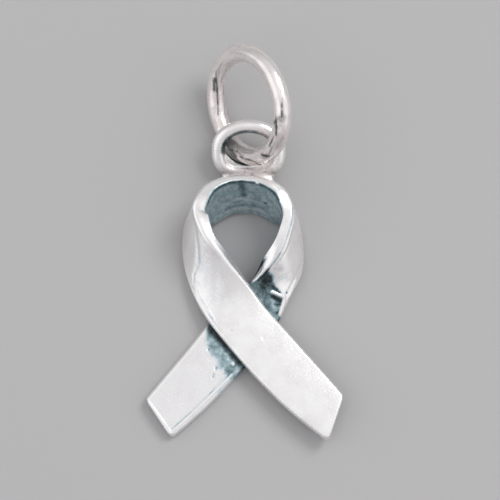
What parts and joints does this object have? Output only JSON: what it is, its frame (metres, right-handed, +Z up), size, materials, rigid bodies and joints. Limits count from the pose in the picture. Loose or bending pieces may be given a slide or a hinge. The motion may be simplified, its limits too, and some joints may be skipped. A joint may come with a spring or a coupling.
{
  "type": "looped ribbon charm with jump ring",
  "caption": "Small silver charm of one flat strip bent into an upright loop with its ends crossed, with a soldered eye on top and a round wire jump ring through the eye.",
  "frame": {"origin": "on the surface that the charm lies on, under the middle of its overall box", "axes": "+Z up from the surface, away from the charm's back; +Y from the legs' ends towards the jump ring; +X to the right as the front is seen"},
  "size_m": [0.01, 0.0196, 0.0052],
  "materials": {
    "ribbon_silver": "polished cast silver, darkened blue-grey in the recesses",
    "ring_silver": "polished round silver wire with fine wear"
  },
  "bodies": {
    "root": {"ribbon": "ribbon_silver", "jump_ring": "ring_silver"}
  },
  "joints": []
}
